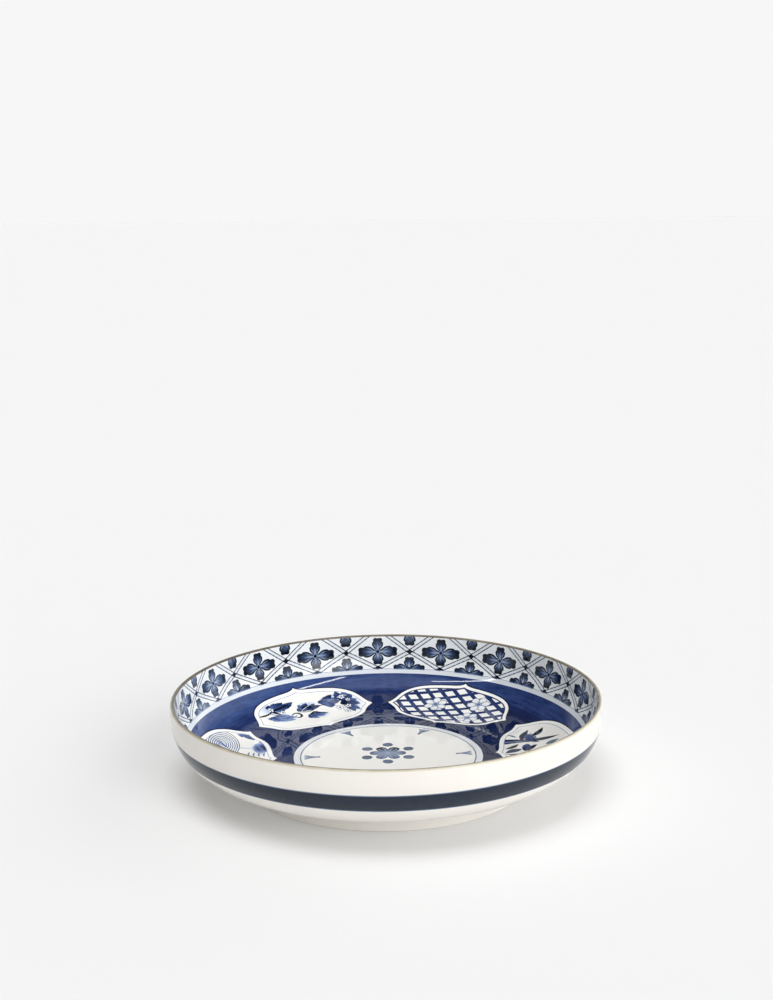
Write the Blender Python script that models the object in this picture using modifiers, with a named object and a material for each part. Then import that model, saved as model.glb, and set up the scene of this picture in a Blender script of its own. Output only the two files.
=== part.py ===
"""Shallow porcelain serving bowl, all in metres, +Z up, origin under its centre on the table.

A turned body stands on a low foot ring. Its lip wears a half-round edging, a dark band runs round
the outside, and the inside is laid out as a medallion, a blue ground with six lobed panels, a
white line and a wall border. Each coat of decoration is a thin skin let into the body.
"""

import math

import bmesh
import bpy

MM = 0.001

# Driving dimensions
RIM_RADIUS = 125.0 * MM
HEIGHT = 50.0 * MM
WALL = 3.8 * MM                         # thickness of the curved wall
COVE_RADIUS = 29.6 * MM                 # outside radius of the curve from wall to underside
COVE_Z = 42.0 * MM                      # height of that curve's centre
UNDERSIDE_SLOPE = math.radians(20.0)    # rise of the underside outside the foot
UNDERSIDE_Z = 7.0 * MM
FLOOR_Z = 11.6 * MM                     # top of the flat floor
SWEEP_SLOPE = math.radians(22.0)        # slope where the floor's rise meets the wall's curve
WALL_SLOPE = math.radians(81.1)         # slope of the inner wall up to the lip
LIP_SEAT_Z = 48.5 * MM
FOOT_TOP_RADIUS = 86.0 * MM
FOOT_WIDTH = 6.5 * MM
BAND_TOP_Z = 36.0 * MM
BAND_BOTTOM_Z = 26.0 * MM

# Decoration, as lengths along the inner surface from the centre of the floor
MEDALLION_EDGE = 56.5 * MM
PANEL_ZONE = (60.0 * MM, 118.0 * MM)
LINE_START = 119.0 * MM
LINE_END = 121.7 * MM
BORDER_TOP = 142.0 * MM
PANEL_NAMES = (
    "panel_reeds",
    "panel_lattice_blossom",
    "panel_leaf_spray",
    "panel_roundel",
    "panel_waves",
    "panel_grasses",
)
PANEL_TURN = math.radians(2.5)          # direction of the first panel, from +X towards +Y

# Construction
GAP = 0.3 * MM                          # clearance between pieces that touch
SKIN = 0.5 * MM                         # thickness of a decoration skin
RECESS = SKIN + GAP
STEPS = 60                              # facets round a turned piece
ARC_STEP = 5.0 * MM                     # longest stretch of a turned profile's facet
MERGE = 0.001 * MM
SHARP = math.radians(35.0)
PRISM_BOTTOM = 4.0 * MM
PRISM_TOP = 40.0 * MM

# Worked out from the driving dimensions
COVE_CENTRE = RIM_RADIUS - COVE_RADIUS
COVE_INNER = COVE_RADIUS - WALL
COVE_START_R = COVE_CENTRE + COVE_INNER * math.sin(SWEEP_SLOPE)
COVE_START_Z = COVE_Z - COVE_INNER * math.cos(SWEEP_SLOPE)
SWEEP_RADIUS = (COVE_START_Z - FLOOR_Z) / (1.0 - math.cos(SWEEP_SLOPE))
FLOOR_RADIUS = COVE_START_R - SWEEP_RADIUS * math.sin(SWEEP_SLOPE)
SWEEP_END = FLOOR_RADIUS + SWEEP_RADIUS * SWEEP_SLOPE
COVE_END = SWEEP_END + COVE_INNER * (WALL_SLOPE - SWEEP_SLOPE)
COVE_END_R = COVE_CENTRE + COVE_INNER * math.sin(WALL_SLOPE)
COVE_END_Z = COVE_Z - COVE_INNER * math.cos(WALL_SLOPE)
SEAT_ARC = COVE_END + (LIP_SEAT_Z - COVE_END_Z) / math.sin(WALL_SLOPE)

# Half a panel's outline from its outer point round to its inner one, as Bezier segments of
# (start, handle, handle, end, pieces), in millimetres: across, then along from the bowl's centre
PANEL_LOBES = (
    ((0.0, 114.9), (1.4, 112.9), (5.5, 112.2), (10.0, 111.6), 2),
    ((10.0, 111.6), (24.0, 109.0), (36.5, 104.5), (38.6, 92.0), 5),
    ((38.6, 92.0), (39.2, 88.0), (39.6, 84.5), (41.4, 81.9), 2),
    ((41.4, 81.9), (39.4, 80.6), (36.2, 79.8), (33.0, 76.4), 2),
    ((33.0, 76.4), (29.4, 71.6), (24.0, 69.2), (10.0, 67.6), 4),
    ((10.0, 67.6), (4.6, 67.0), (1.4, 66.0), (0.0, 64.2), 2),
)


def clear_scene():
    for item in list(bpy.data.objects):
        bpy.data.objects.remove(item, do_unlink=True)


def new_collection(name):
    group = bpy.data.collections.new(name)
    bpy.context.scene.collection.children.link(group)
    return group


def glaze(name, colour, roughness):
    """A glossy fired coat."""
    material = bpy.data.materials.new(name)
    material.use_nodes = True
    shader = material.node_tree.nodes["Principled BSDF"]
    shader.inputs["Base Color"].default_value = (*colour, 1.0)
    shader.inputs["Roughness"].default_value = roughness
    shader.inputs["Metallic"].default_value = 0.0
    material.diffuse_color = (*colour, 1.0)
    return material


def inner_point(arc, depth=0.0):
    """Radius and height on the inner surface at a length from the centre, set into the wall."""
    if arc < FLOOR_RADIUS:
        slope = 0.0
        radius, height = arc, FLOOR_Z
    elif arc < SWEEP_END:
        slope = (arc - FLOOR_RADIUS) / SWEEP_RADIUS
        radius = FLOOR_RADIUS + SWEEP_RADIUS * math.sin(slope)
        height = FLOOR_Z + SWEEP_RADIUS * (1.0 - math.cos(slope))
    elif arc < COVE_END:
        slope = SWEEP_SLOPE + (arc - SWEEP_END) / COVE_INNER
        radius = COVE_CENTRE + COVE_INNER * math.sin(slope)
        height = COVE_Z - COVE_INNER * math.cos(slope)
    else:
        slope = WALL_SLOPE
        radius = COVE_END_R + (arc - COVE_END) * math.cos(slope)
        height = COVE_END_Z + (arc - COVE_END) * math.sin(slope)
    return radius + depth * math.sin(slope), height - depth * math.cos(slope)


def stations(start, end):
    """Lengths along the inner surface from start to end, close together where it curves."""
    bends = [start, FLOOR_RADIUS, SWEEP_END, COVE_END, end]
    marks = sorted(mark for mark in bends if start <= mark <= end)
    lengths = [start]
    for low, high in zip(marks, marks[1:]):
        curved = low >= FLOOR_RADIUS and high <= COVE_END
        pieces = max(1, math.ceil((high - low) / ARC_STEP)) if curved else 1
        lengths += [low + (high - low) * step / pieces for step in range(1, pieces + 1)]
    return lengths


def inner_run(start, end, depth=0.0):
    return [inner_point(arc, depth) for arc in stations(start, end)]


def outer_run(high_z, low_z, depth=0.0):
    """Points down the outside of the cove between two heights of its surface."""
    first = math.asin((COVE_Z - high_z) / COVE_RADIUS)
    last = math.asin((COVE_Z - low_z) / COVE_RADIUS)
    pieces = max(1, math.ceil((last - first) * COVE_RADIUS / ARC_STEP))
    angles = [first + (last - first) * step / pieces for step in range(pieces + 1)]
    radius = COVE_RADIUS - depth
    return [(COVE_CENTRE + radius * math.cos(a), COVE_Z - radius * math.sin(a)) for a in angles]


def turn(name, profile, group, closed=True):
    """Sweep a profile of (radius, height) points round the bowl's axis."""
    mesh = bpy.data.meshes.new(name)
    points = [(radius, 0.0, height) for radius, height in profile]
    edges = [(index, index + 1) for index in range(len(points) - 1)]
    if closed:
        edges.append((len(points) - 1, 0))
    mesh.from_pydata(points, edges, [])
    piece = bpy.data.objects.new(name, mesh)
    group.objects.link(piece)
    screw = piece.modifiers.new("turned", "SCREW")
    screw.axis = "Z"
    screw.steps = STEPS
    screw.render_steps = STEPS
    screw.use_merge_vertices = True
    screw.merge_threshold = MERGE
    return piece


def bezier(start, first, second, end, pieces):
    """Points of a cubic curve after its start."""
    points = []
    for step in range(1, pieces + 1):
        t = step / pieces
        weights = ((1 - t) ** 3, 3 * t * (1 - t) ** 2, 3 * t * t * (1 - t), t ** 3)
        corners = (start, first, second, end)
        points.append(tuple(sum(w * c[axis] for w, c in zip(weights, corners)) for axis in (0, 1)))
    return points


def panel_outline(direction):
    """Plan of a panel, as (x, y) points, wrapped on to the bowl's inner surface."""
    half = [PANEL_LOBES[0][0]]
    for segment in PANEL_LOBES:
        half += bezier(*segment)
    flat = half + [(-across, along) for across, along in reversed(half[1:-1])]
    plan = []
    for across, along in flat:
        radius = inner_point(math.hypot(across, along) * MM)[0]
        angle = direction + math.atan2(across, along)
        plan.append((radius * math.cos(angle), radius * math.sin(angle)))
    return plan


def widened(plan, margin):
    """The plan with every side moved outwards by a margin."""
    moved = []
    for index, (x, y) in enumerate(plan):
        before = plan[index - 1]
        after = plan[(index + 1) % len(plan)]
        entry = math.atan2(y - before[1], x - before[0])
        leave = math.atan2(after[1] - y, after[0] - x)
        turned = math.remainder(leave - entry, math.tau)
        outward = entry + turned / 2.0 - math.pi / 2.0
        reach = margin / math.cos(turned / 2.0)
        moved.append((x + reach * math.cos(outward), y + reach * math.sin(outward)))
    return moved


def prism(name, plan, group):
    """Upright cutter of a plan, tall enough to pass through the inner surface."""
    curve = bpy.data.curves.new(name, "CURVE")
    curve.dimensions = "2D"
    curve.fill_mode = "BOTH"
    curve.extrude = (PRISM_TOP - PRISM_BOTTOM) / 2.0
    spline = curve.splines.new("POLY")
    spline.points.add(len(plan) - 1)
    for point, (x, y) in zip(spline.points, plan):
        point.co = (x, y, 0.0, 1.0)
    spline.use_cyclic_u = True
    outline = bpy.data.objects.new(name + "_outline", curve)
    outline.location.z = (PRISM_TOP + PRISM_BOTTOM) / 2.0
    group.objects.link(outline)
    bpy.context.view_layer.update()
    evaluated = outline.evaluated_get(bpy.context.evaluated_depsgraph_get())
    mesh = bpy.data.meshes.new_from_object(evaluated)
    shape = bmesh.new()
    shape.from_mesh(mesh)
    bmesh.ops.remove_doubles(shape, verts=shape.verts, dist=MERGE)
    bmesh.ops.recalc_face_normals(shape, faces=shape.faces)
    shape.to_mesh(mesh)
    shape.free()
    cutter = bpy.data.objects.new(name, mesh)
    cutter.matrix_world = outline.matrix_world.copy()
    group.objects.link(cutter)
    bpy.data.objects.remove(outline, do_unlink=True)
    cutter.hide_render = True
    cutter.display_type = "WIRE"
    return cutter


def cut(piece, cutter, operation):
    boolean = piece.modifiers.new(cutter.name, "BOOLEAN")
    boolean.operation = operation
    boolean.solver = "EXACT"
    boolean.object = cutter


def finish(piece, material):
    """Fix the modelled shape, shade its round faces smooth and glaze it."""
    bpy.context.view_layer.update()
    evaluated = piece.evaluated_get(bpy.context.evaluated_depsgraph_get())
    mesh = bpy.data.meshes.new_from_object(evaluated)
    piece.modifiers.clear()
    piece.data = mesh
    mesh.shade_smooth()
    mesh.set_sharp_from_angle(angle=SHARP)
    mesh.materials.clear()
    mesh.materials.append(material)


def make_body(group, material):
    inside = inner_run(0.0, LINE_START, RECESS)
    inside += inner_run(LINE_START, LINE_END)
    inside += inner_run(LINE_END, BORDER_TOP, RECESS)
    inside += [inner_point(BORDER_TOP), inner_point(SEAT_ARC)]
    slope_start = COVE_Z - COVE_RADIUS * math.cos(UNDERSIDE_SLOPE)
    outside = [(RIM_RADIUS, LIP_SEAT_Z)]
    outside += outer_run(COVE_Z, BAND_TOP_Z)
    outside += outer_run(BAND_TOP_Z, BAND_BOTTOM_Z, RECESS)
    outside += outer_run(BAND_BOTTOM_Z, slope_start)
    seat = outside[-1][0] - (slope_start - UNDERSIDE_Z) / math.tan(UNDERSIDE_SLOPE)
    underside = [(seat, UNDERSIDE_Z), (0.0, UNDERSIDE_Z)]
    finish(turn("bowl_body", inside + outside + underside, group, closed=False), material)


def make_foot(group, material):
    """Low ring under the body, its walls drawn in slightly and its standing edge rounded."""
    draft = 1.0 * MM
    rounding = 0.8 * MM
    top = UNDERSIDE_Z - GAP
    outer = FOOT_TOP_RADIUS - draft
    inner = FOOT_TOP_RADIUS - FOOT_WIDTH + draft
    profile = [
        (FOOT_TOP_RADIUS, top),
        (outer, rounding),
        (outer - 0.3 * rounding, 0.3 * rounding),
        (outer - rounding, 0.0),
        (inner + rounding, 0.0),
        (inner + 0.3 * rounding, 0.3 * rounding),
        (inner, rounding),
        (FOOT_TOP_RADIUS - FOOT_WIDTH, top),
    ]
    finish(turn("foot_ring", profile, group), material)


def make_lip(group, material):
    """Half-round edging that sits on top of the wall."""
    base = LIP_SEAT_Z + GAP
    bead = HEIGHT - base
    centre = RIM_RADIUS - bead
    pieces = 6
    angles = [math.pi * (1.0 - step / pieces) for step in range(pieces + 1)]
    profile = [(centre + bead * math.cos(a), base + bead * math.sin(a)) for a in angles]
    finish(turn("lip_edging", profile, group), material)


def make_band(group, material):
    """Dark band let into the outside of the wall."""
    side = GAP / 2.0
    outer = outer_run(BAND_TOP_Z - side, BAND_BOTTOM_Z + side)
    inner = outer_run(BAND_TOP_Z - side, BAND_BOTTOM_Z + side, SKIN)
    finish(turn("outer_band", outer + inner[::-1], group), material)


def skin(name, start, end, group):
    """A thin turned skin, flush with the inner surface between two lengths from the centre."""
    face = inner_run(start, end)
    back = inner_run(start, end, SKIN)
    return turn(name, face + back[::-1], group, closed=start > 0.0)


def make_inside(parts, cutters, glazes):
    side = GAP / 2.0
    finish(skin("centre_medallion", 0.0, MEDALLION_EDGE - side, parts), glazes["medallion"])
    finish(skin("wall_border", LINE_END + GAP, BORDER_TOP - GAP, parts), glazes["border"])
    ground = skin("blue_ground", MEDALLION_EDGE + side, LINE_START - GAP, parts)
    for number, name in enumerate(PANEL_NAMES):
        plan = panel_outline(PANEL_TURN + number * math.tau / len(PANEL_NAMES))
        cut(ground, prism(name + "_opening", widened(plan, GAP), cutters), "DIFFERENCE")
        panel = skin(name, *PANEL_ZONE, parts)
        cut(panel, prism(name + "_plan", plan, cutters), "INTERSECT")
        finish(panel, glazes["panel"])
    finish(ground, glazes["ground"])


def main():
    clear_scene()
    parts = new_collection("porcelain_serving_bowl")
    cutters = new_collection("cutters")
    glazes = {
        "porcelain": glaze("porcelain", (0.84, 0.82, 0.78), 0.12),
        "iron": glaze("iron_lip", (0.20, 0.15, 0.12), 0.30),
        "band": glaze("indigo_band", (0.03, 0.035, 0.07), 0.12),
        "medallion": glaze("medallion_white", (0.78, 0.80, 0.84), 0.12),
        "border": glaze("border_pale_blue", (0.55, 0.58, 0.66), 0.12),
        "ground": glaze("cobalt_ground", (0.05, 0.08, 0.28), 0.12),
        "panel": glaze("panel_blue_white", (0.50, 0.55, 0.66), 0.12),
    }
    make_body(parts, glazes["porcelain"])
    make_foot(parts, glazes["porcelain"])
    make_lip(parts, glazes["iron"])
    make_band(parts, glazes["band"])
    make_inside(parts, cutters, glazes)


main()
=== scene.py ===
import math
import random

import bpy
import numpy as np
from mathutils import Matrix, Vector
from mathutils.geometry import delaunay_2d_cdt


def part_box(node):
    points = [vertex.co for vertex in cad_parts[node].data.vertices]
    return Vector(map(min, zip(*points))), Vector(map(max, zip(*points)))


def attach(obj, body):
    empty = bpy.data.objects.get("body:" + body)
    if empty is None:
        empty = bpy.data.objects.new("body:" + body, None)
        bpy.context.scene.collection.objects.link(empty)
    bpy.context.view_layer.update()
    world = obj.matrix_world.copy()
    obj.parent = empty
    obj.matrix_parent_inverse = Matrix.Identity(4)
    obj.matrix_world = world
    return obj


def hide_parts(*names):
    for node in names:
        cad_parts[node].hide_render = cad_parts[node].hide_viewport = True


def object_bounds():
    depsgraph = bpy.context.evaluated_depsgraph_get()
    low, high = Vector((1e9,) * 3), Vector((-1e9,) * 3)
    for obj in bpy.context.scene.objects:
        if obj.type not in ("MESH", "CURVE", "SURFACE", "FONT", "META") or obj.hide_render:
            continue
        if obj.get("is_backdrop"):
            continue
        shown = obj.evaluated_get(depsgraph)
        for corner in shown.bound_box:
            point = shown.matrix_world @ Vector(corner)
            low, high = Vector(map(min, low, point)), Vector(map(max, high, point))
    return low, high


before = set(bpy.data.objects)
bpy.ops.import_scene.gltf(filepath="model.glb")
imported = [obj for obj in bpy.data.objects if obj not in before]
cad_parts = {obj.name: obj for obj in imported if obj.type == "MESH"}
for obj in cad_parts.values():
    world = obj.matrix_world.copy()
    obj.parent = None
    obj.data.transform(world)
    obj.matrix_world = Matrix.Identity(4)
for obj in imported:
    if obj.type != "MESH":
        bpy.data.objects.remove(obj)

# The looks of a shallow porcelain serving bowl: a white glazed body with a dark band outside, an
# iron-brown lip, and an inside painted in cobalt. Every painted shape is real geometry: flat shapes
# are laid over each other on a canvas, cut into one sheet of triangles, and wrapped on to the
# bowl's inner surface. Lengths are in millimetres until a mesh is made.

MM = 0.001
TAU = math.tau
CAD_LOW, CAD_HIGH = (Vector(corner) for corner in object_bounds())


def box_mm(node):
    """The low and high corners of a CAD node's box."""
    low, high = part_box(node)
    return Vector(low) / MM, Vector(high) / MM


# Sizes from the frame
RIM = CAD_HIGH.x / MM
HEIGHT = CAD_HIGH.z / MM
FLOOR_Z = box_mm("centre_medallion")[1].z
FOOT_OUTER = box_mm("foot_ring")[1].x
UNDERSIDE_Z = box_mm("bowl_body")[0].z
BAND_BOTTOM = box_mm("outer_band")[0].z
BAND_TOP = box_mm("outer_band")[1].z
LIP_BASE = box_mm("lip_edging")[0].z

# The wall's section, as the CAD turns it
WALL = 3.8
COVE_RADIUS = 29.6
COVE_Z = 42.0
SWEEP_SLOPE = math.radians(22.0)
WALL_SLOPE = math.radians(81.1)
UNDERSIDE_SLOPE = math.radians(20.0)
COVE_CENTRE = RIM - COVE_RADIUS
COVE_INNER = COVE_RADIUS - WALL
COVE_START_R = COVE_CENTRE + COVE_INNER * math.sin(SWEEP_SLOPE)
COVE_START_Z = COVE_Z - COVE_INNER * math.cos(SWEEP_SLOPE)
SWEEP_RADIUS = (COVE_START_Z - FLOOR_Z) / (1.0 - math.cos(SWEEP_SLOPE))
FLOOR_RADIUS = COVE_START_R - SWEEP_RADIUS * math.sin(SWEEP_SLOPE)
SWEEP_END = FLOOR_RADIUS + SWEEP_RADIUS * SWEEP_SLOPE
COVE_END = SWEEP_END + COVE_INNER * (WALL_SLOPE - SWEEP_SLOPE)

# Bounds of the painting, as lengths along the inner surface from its centre
MEDALLION_EDGE = 56.5
LINE_START = 119.0
LINE_END = 121.7
FLOWER_ARC = 133.5
BORDER_TOP = 143.6

# The painting's layout
PANELS = 6
PANEL_TURN = math.radians(2.5)
SECTORS = 18            # repeats of the border
SECTOR_TURN = math.radians(12.5)
THIN_SECTORS = (7, 8)   # repeats with a thinner wash
STRIP_RADIUS = 121.0    # radius at which a repeat of the border is laid out flat
HALF_SECTOR = STRIP_RADIUS * math.pi / SECTORS
PAINTED_SHADE_SIDE = math.radians(38.0)      # where the ground is painted darker, as painted shade on the side turned away from the light
FRAME_LINE = 2.6        # where a panel's inner line starts, in from its edge
FRAME = 3.0             # where its painting starts
NARROW_FRAME = 2.1      # the same, on the panel without a line

# Make
SKIN = 0.35             # thickness of a painted skin
BED = SKIN + 0.05       # how far the body is cut back under one
BAND_FADE = 0.45        # how far the outer band's thinning edges reach past the CAD's band
EDGE_STEPS = 84         # sides of a sixth of the medallion's circle
ROW_STEPS = 42          # sides of the straight edge between two sixths of the ground
BORDER_GRID = 1.3       # spacing of the extra points that let each kind of sheet bend
PANEL_GRID = 1.5
GROUND_GRID = 1.8
MEDALLION_GRID = 2.0
STEPS = 288             # facets round a turned piece
WELD = 0.0005           # vertices closer than this are one
TINY = 1e-9             # keeps a length that is divided by above nothing
TINY_SQUARE = 1e-12     # the same, for a length squared

# Inks: strength of the pigment, and how violet-blue it is (0 is a grey-teal ink)
WHITE = (0.0, 0.5)
CREAM = (0.02, 0.0)

random.seed(20)


# ---- The bowl's surfaces ----

def inner_profile(arc):
    """Radius, height and slope of the inner surface at lengths from its centre."""
    arc = np.asarray(arc, float)
    sweep = np.clip((arc - FLOOR_RADIUS) / SWEEP_RADIUS, 0.0, SWEEP_SLOPE)
    cove = np.clip((arc - SWEEP_END) / COVE_INNER, 0.0, WALL_SLOPE - SWEEP_SLOPE)
    rise = np.maximum(arc - COVE_END, 0.0)
    slope = sweep + cove
    radius = np.minimum(arc, FLOOR_RADIUS) + SWEEP_RADIUS * np.sin(sweep)
    radius += COVE_INNER * (np.sin(SWEEP_SLOPE + cove) - math.sin(SWEEP_SLOPE))
    radius += rise * math.cos(WALL_SLOPE)
    height = FLOOR_Z + SWEEP_RADIUS * (1.0 - np.cos(sweep))
    height += COVE_INNER * (math.cos(SWEEP_SLOPE) - np.cos(SWEEP_SLOPE + cove))
    height += rise * math.sin(WALL_SLOPE)
    return radius, height, slope


def inside_point(turn, arc):
    """Points on the inner surface and the way that it faces there."""
    radius, height, slope = inner_profile(arc)
    points = np.stack([radius * np.cos(turn), radius * np.sin(turn), height], -1)
    facing = np.stack([-np.sin(slope) * np.cos(turn), -np.sin(slope) * np.sin(turn), np.cos(slope)], -1)
    return points, facing


def inner_run(start, end, depth=0.0, spacing=1.0):
    """Profile points (radius, height, facing) along the inner surface, from start to end."""
    pieces = max(1, math.ceil(abs(end - start) / spacing))
    radius, height, slope = inner_profile(np.linspace(start, end, pieces + 1))
    radius = radius + depth * np.sin(slope)
    height = height - depth * np.cos(slope)
    return [tuple(row) for row in np.stack([radius, height, -np.sin(slope), np.cos(slope)], -1)]


def spaced(start, end, count):
    """Evenly spaced values from start to end, both included."""
    return [start + (end - start) * step / count for step in range(count + 1)]


def arc_run(centre, radius, start, end, pieces, side=1.0):
    """Profile points round an arc, facing away from its centre, or towards it with side -1."""
    run = []
    for angle in spaced(start, end, pieces):
        x, z = math.cos(angle), math.sin(angle)
        run.append((centre[0] + radius * x, centre[1] + radius * z, side * x, side * z))
    return run


def straight_run(start, end, pieces=1):
    """Profile points down a straight side, which faces to the left of its way."""
    dx, dz = end[0] - start[0], end[1] - start[1]
    length = math.hypot(dx, dz)
    facing = (-dz / length, dx / length)
    shares = [step / pieces for step in range(pieces + 1)]
    return [(start[0] + dx * share, start[1] + dz * share, *facing) for share in shares]


def outer_run(high, low, depth=0.0, spacing=1.0):
    """Profile points down the outside of the cove between two heights."""
    first = -math.asin((COVE_Z - high) / COVE_RADIUS)
    last = -math.asin((COVE_Z - low) / COVE_RADIUS)
    pieces = max(2, math.ceil(abs(last - first) * COVE_RADIUS / spacing))
    return arc_run((COVE_CENTRE, COVE_Z), COVE_RADIUS - depth, first, last, pieces)


# ---- Meshes ----

def new_object(name, data):
    """An object in the scene."""
    made = bpy.data.objects.new(name, data)
    bpy.context.scene.collection.objects.link(made)
    return made


def new_piece(name, points, faces, corner_facing, cobalt, tint, brush):
    """A mesh object in metres with its own corner normals, inks and brush directions."""
    mesh = bpy.data.meshes.new(name)
    mesh.from_pydata((np.asarray(points) * MM).tolist(), [], faces)
    mesh.shade_smooth()
    mesh.normals_split_custom_set(np.asarray(corner_facing).tolist())
    for label, values in (("cobalt", cobalt), ("tint", tint)):
        layer = mesh.attributes.new(label, "FLOAT", "CORNER")
        layer.data.foreach_set("value", np.asarray(values, np.float32))
    layer = mesh.attributes.new("brush", "FLOAT_VECTOR", "POINT")
    layer.data.foreach_set("vector", np.asarray(brush, np.float32).ravel())
    return new_object(name, mesh)


def join_runs(runs, tones):
    """A section's points, and its strips as (index of the first point, both ends, tone)."""
    profile, strips = [runs[0][0][:2]], []
    for run, tone in zip(runs, tones):
        if math.dist(profile[-1], run[0][:2]) > WELD:
            profile.append(run[0][:2])
            strips.append((len(profile) - 2, straight_run(profile[-2], profile[-1]), tone))
        for ends in zip(run, run[1:]):
            profile.append(ends[1][:2])
            strips.append((len(profile) - 2, ends, tone))
    if profile[0][0] < WELD:
        return profile, strips
    if math.dist(profile[0], profile[-1]) > WELD:
        strips.append((len(profile) - 1, straight_run(profile[-1], profile[0]), tones[-1]))
    else:
        profile.pop()
    return profile, strips


def turned(name, runs, tones=None, blue=0.0):
    """A closed turned piece from runs of profile points, joined by straight steps.

    The runs go round the section with the material on their right. Each run may have a tone, a
    number or a function of radius and height, which goes into the attribute cobalt.
    """
    profile, strips = join_runs(runs, tones or [0.0] * len(runs))
    count = len(profile)
    on_axis = profile[0][0] < WELD
    turns = np.arange(STEPS) * TAU / STEPS
    radius, height = np.array(profile).T
    ring = np.stack([
        np.outer(np.cos(turns), radius),
        np.outer(np.sin(turns), radius),
        np.tile(height, (STEPS, 1)),
    ], -1).reshape(-1, 3)
    faces, facing, cobalt = [], [], []
    for step in range(STEPS):
        after = (step + 1) % STEPS
        here, there = turns[step], turns[after]
        for near, ends, tone in strips:
            far = (near + 1) % count
            corners = [(step, near, here, 0), (after, near, there, 0)]
            corners += [(after, far, there, 1), (step, far, here, 1)]
            if on_axis and near == 0:
                corners = [(0, near, here, 0)] + corners[2:]
            elif on_axis and far == count - 1:
                corners = corners[:2] + [(0, far, here, 1)]
            faces.append([where * count + point for where, point, _, _ in corners][::-1])
            for _, point, angle, end in reversed(corners):
                _, _, out, up = ends[end]
                facing.append((out * math.cos(angle), out * math.sin(angle), up))
                cobalt.append(tone(*profile[point]) if callable(tone) else tone)
    used = sorted({index for face in faces for index in face})
    renumber = {old: new for new, old in enumerate(used)}
    faces = [[renumber[index] for index in face] for face in faces]
    points = ring[used]
    around = np.hypot(points[:, 0], points[:, 1])
    safe = np.maximum(around, WELD)
    brush = np.stack([points[:, 0] / safe, points[:, 1] / safe, around + points[:, 2]], -1)
    return new_piece(name, points, faces, facing, cobalt, np.full(len(cobalt), blue), brush)


class Canvas:
    """A flat region to be painted with shapes, each covering those before it."""

    def __init__(self, outline, ink=WHITE):
        self.shapes = [(counter_clockwise(outline), ink, 0)]

    def paint(self, outline, ink, within=0):
        """Lay a shape down, only where it lies inside the shape numbered within."""
        self.shapes.append((counter_clockwise(outline), ink, within))
        return len(self.shapes) - 1

    def grid(self, spacing):
        """Points spread over the region, which let the sheet bend."""
        region = np.array(self.shapes[0][0])
        low, high = region.min(0), region.max(0)
        columns = np.arange(low[0] + spacing / 2, high[0], spacing)
        rows = np.arange(low[1] + spacing / 2, high[1], spacing)
        points = [(x, y) for x in columns for y in rows]
        return [point for point in points if inside(region, point, spacing / 3)]

    def cut(self, spacing):
        """Triangulate: the points, the triangles, and each corner's cobalt and tint."""
        points, outlines = [], []
        for outline, _, _ in self.shapes:
            outlines.append(list(range(len(points), len(points) + len(outline))))
            points += outline
        points += self.grid(spacing)
        flat, _, faces, _, _, sources = delaunay_2d_cdt(
            [Vector(point) for point in points], [], outlines, 1, WELD, True)
        flat = np.array([tuple(point) for point in flat])
        triangles, cobalt, tint = [], [], []
        for face, found in zip(faces, sources):
            if 0 not in found:
                continue
            top = max(shape for shape in found if self.shapes[shape][2] in found)
            strength, blue = self.shapes[top][1]
            triangles.append(face)
            for x, y in flat[face]:
                cobalt.append(strength(x, y) if callable(strength) else strength)
                tint.append(blue)
        return flat, np.array(triangles), np.array(cobalt), np.array(tint)


def gathered(patches):
    """All the patches as one sheet: each point's turn and arc, the triangles, the corners' inks."""
    turns, arcs, triangles, inks = [], [], [], []
    count = 0
    for (flat, faces, *ink), wrap in patches:
        turn, arc = wrap(*flat.T)
        turns.append(turn)
        arcs.append(arc)
        triangles.append(faces + count)
        inks.append(np.stack(ink, -1))
        count += len(flat)
    return [np.concatenate(part) for part in (turns, arcs, triangles, inks)]


def welded(turns, arcs, triangles, inks):
    """The sheet with meeting points made one, and without the triangles that this closes up."""
    points, _ = inside_point(turns, arcs)
    keys = np.round(points / WELD / 4).astype(np.int64)
    _, first, index = np.unique(keys, axis=0, return_index=True, return_inverse=True)
    triangles = index.ravel()[triangles]
    a, b, c = triangles.T
    whole = (a != b) & (b != c) & (c != a)
    used, renumbered = np.unique(triangles[whole], return_inverse=True)
    kept = first[used]
    return turns[kept], arcs[kept], renumbered.reshape(-1, 3), inks.reshape(-1, 3, 2)[whole]


def skin_piece(name, patches):
    """A closed thin skin on the inner surface, from cut canvases and the way each is wrapped."""
    turns, arcs, triangles, inks = welded(*gathered(patches))
    points, facing = inside_point(turns, arcs)
    size = len(points)
    edges = np.concatenate([triangles[:, [0, 1]], triangles[:, [1, 2]], triangles[:, [2, 0]]])
    pairs = np.sort(edges, axis=1)
    _, where, times = np.unique(pairs, axis=0, return_index=True, return_counts=True)
    rim = edges[where[times == 1]]
    top, bottom = triangles[:, ::-1], triangles + size
    sides = [[a, b, b + size, a + size] for a, b in rim.tolist()]
    both = np.concatenate([points, points - facing * SKIN])
    a, b, c, _ = both[np.array(sides)].transpose(1, 0, 2)
    across = np.cross(b - a, c - b)
    across /= np.maximum(np.linalg.norm(across, axis=1), TINY)[:, None]
    normals = [facing[top].reshape(-1, 3), -facing[triangles].reshape(-1, 3)]
    normals.append(np.repeat(across, 4, axis=0))
    blank = np.zeros(len(bottom) * 3 + len(sides) * 4)
    cobalt, tint = (np.concatenate([inks[:, ::-1, kind].ravel(), blank]) for kind in (0, 1))
    brush = np.stack([np.cos(turns), np.sin(turns), arcs], -1)
    faces = top.tolist() + bottom.tolist() + sides
    return new_piece(
        name, both, faces, np.concatenate(normals), cobalt, tint, np.concatenate([brush, brush]))


def disc_wrap(direction):
    """Wrap flat points round the bowl's centre, with +Y along a direction and +X turning left."""
    return lambda x, y: (direction + np.arctan2(x, y), np.hypot(x, y))


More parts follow.
